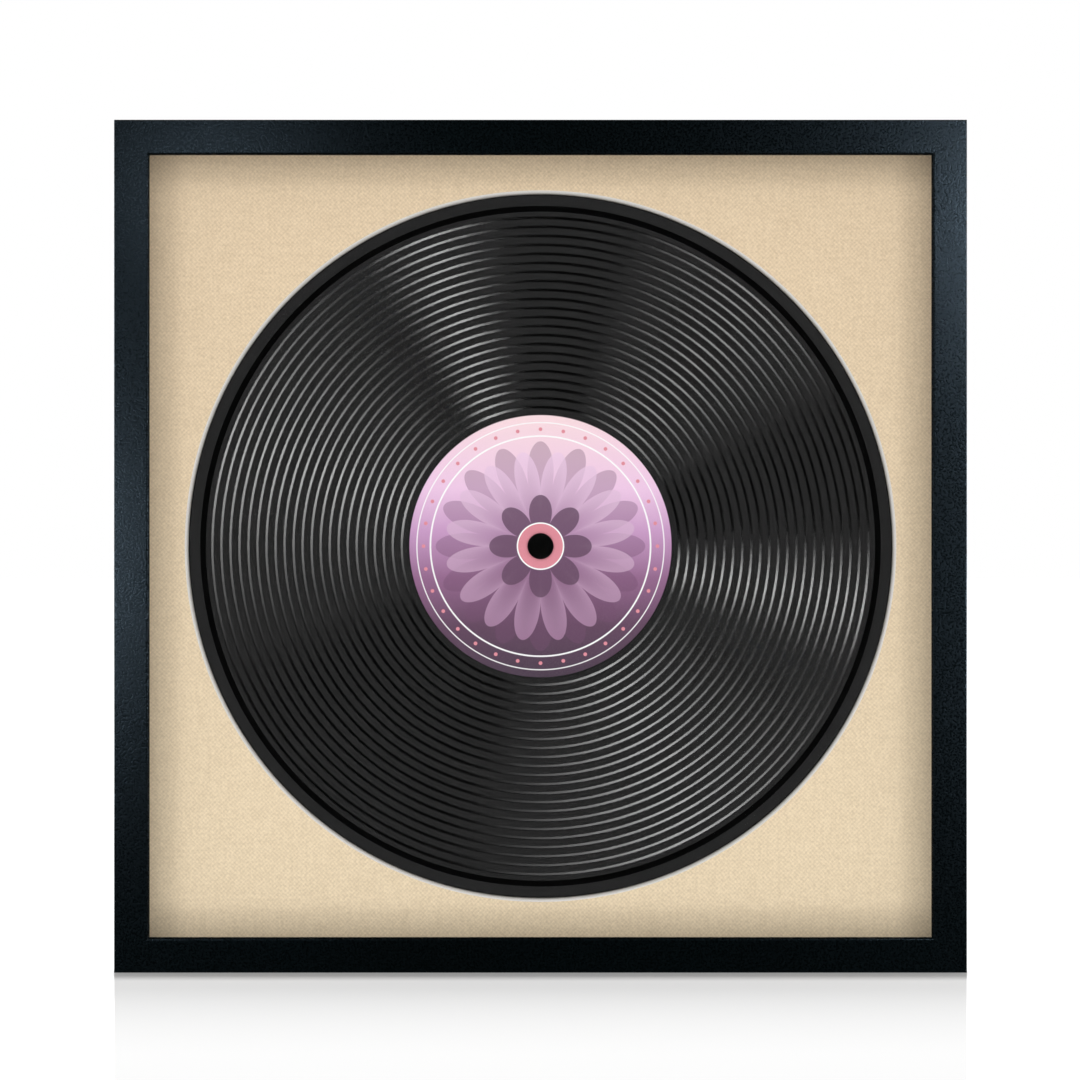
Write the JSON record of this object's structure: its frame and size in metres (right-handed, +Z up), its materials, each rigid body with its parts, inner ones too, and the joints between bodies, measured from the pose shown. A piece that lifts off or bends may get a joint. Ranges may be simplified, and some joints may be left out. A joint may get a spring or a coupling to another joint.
{
  "type": "record display frame",
  "caption": "Square shadow-box frame with mitred mouldings, clear front, round-window mat and a record on a hub, closed at the back by turn buttons.",
  "frame": {"origin": "on the floor, under the middle of the frame's width and of its whole depth", "axes": "+X to the right seen from the front, +Y from the front to the back, +Z up"},
  "size_m": [0.364, 0.032, 0.364],
  "materials": {
    "satin_black": "fine-grained satin black film on the moulding",
    "clear_acrylic": "clear, smooth",
    "black_strip": "matt black",
    "tan_linen": "tan, fine woven surface",
    "white_board": "warm white, cut at a slant",
    "vinyl": "black vinyl with stepped groove lines",
    "label_paper": "printed, semi-matt",
    "black_plastic": "black, moulded",
    "grey_board": "grey board",
    "brown_board": "pressed fibre board",
    "nickel": "nickel plated",
    "dark_rubber": "soft, dark"
  },
  "bodies": {
    "frame": {"rail_bottom": "satin_black", "rail_left": "satin_black", "rail_top": "satin_black", "rail_right": "satin_black", "v_nail_1": "nickel", "v_nail_2": "nickel", "v_nail_3": "nickel", "v_nail_4": "nickel", "glazing": "clear_acrylic", "spacer_bottom": "black_strip", "spacer_top": "black_strip", "spacer_left": "black_strip", "spacer_right": "black_strip", "mat_facing": "tan_linen", "mat_core": "white_board", "hub_cap": "black_plastic", "hub_nut": "black_plastic", "mount_board": "grey_board", "backing_board": "brown_board", "button_screw_bottom_left": "nickel", "button_screw_bottom_right": "nickel", "button_screw_left_upper": "nickel", "button_screw_left_lower": "nickel", "button_screw_top_left": "nickel", "button_screw_top_right": "nickel", "button_screw_right_upper": "nickel", "button_screw_right_lower": "nickel", "hanger_strap_left": "nickel", "hanger_strap_right": "nickel", "hanger_screw_left": "nickel", "hanger_screw_right": "nickel", "bumper_left": "dark_rubber", "bumper_right": "dark_rubber"},
    "disc": {"record": "vinyl", "label_front": "label_paper", "label_back": "label_paper"},
    "ring_left": {"hanger_ring_left": "nickel"},
    "ring_right": {"hanger_ring_right": "nickel"},
    "button_bottom_left": {"turn_button_bottom_left": "nickel"},
    "button_bottom_right": {"turn_button_bottom_right": "nickel"},
    "button_left_upper": {"turn_button_left_upper": "nickel"},
    "button_left_lower": {"turn_button_left_lower": "nickel"},
    "button_top_left": {"turn_button_top_left": "nickel"},
    "button_top_right": {"turn_button_top_right": "nickel"},
    "button_right_upper": {"turn_button_right_upper": "nickel"},
    "button_right_lower": {"turn_button_right_lower": "nickel"}
  },
  "joints": [
    {"name": "record_turn", "type": "hinge", "parent": "frame", "child": "disc", "pos_m": [0, 0.0026, 0.182], "axis": [0, 1, 0], "continuous": true},
    {"name": "ring_left_swing", "type": "hinge", "parent": "frame", "child": "ring_left", "pos_m": [-0.175, 0.0139, 0.286], "axis": [1, 0, 0], "range_deg": [0, 180]},
    {"name": "ring_right_swing", "type": "hinge", "parent": "frame", "child": "ring_right", "pos_m": [0.175, 0.0139, 0.286], "axis": [1, 0, 0], "range_deg": [0, 180]},
    {"name": "button_bottom_left_turn", "type": "hinge", "parent": "frame", "child": "button_bottom_left", "pos_m": [-0.061, 0.01285, 0.00575], "axis": [0, 1, 0], "range_deg": [-90, 90]},
    {"name": "button_bottom_right_turn", "type": "hinge", "parent": "frame", "child": "button_bottom_right", "pos_m": [0.061, 0.01285, 0.00575], "axis": [0, 1, 0], "range_deg": [-90, 90]},
    {"name": "button_left_upper_turn", "type": "hinge", "parent": "frame", "child": "button_left_upper", "pos_m": [-0.17625, 0.01285, 0.243], "axis": [0, 1, 0], "range_deg": [-90, 90]},
    {"name": "button_left_lower_turn", "type": "hinge", "parent": "frame", "child": "button_left_lower", "pos_m": [-0.17625, 0.01285, 0.121], "axis": [0, 1, 0], "range_deg": [-90, 90]},
    {"name": "button_top_left_turn", "type": "hinge", "parent": "frame", "child": "button_top_left", "pos_m": [-0.061, 0.01285, 0.35825], "axis": [0, 1, 0], "range_deg": [-90, 90]},
    {"name": "button_top_right_turn", "type": "hinge", "parent": "frame", "child": "button_top_right", "pos_m": [0.061, 0.01285, 0.35825], "axis": [0, 1, 0], "range_deg": [-90, 90]},
    {"name": "button_right_upper_turn", "type": "hinge", "parent": "frame", "child": "button_right_upper", "pos_m": [0.17625, 0.01285, 0.243], "axis": [0, 1, 0], "range_deg": [-90, 90]},
    {"name": "button_right_lower_turn", "type": "hinge", "parent": "frame", "child": "button_right_lower", "pos_m": [0.17625, 0.01285, 0.121], "axis": [0, 1, 0], "range_deg": [-90, 90]}
  ]
}
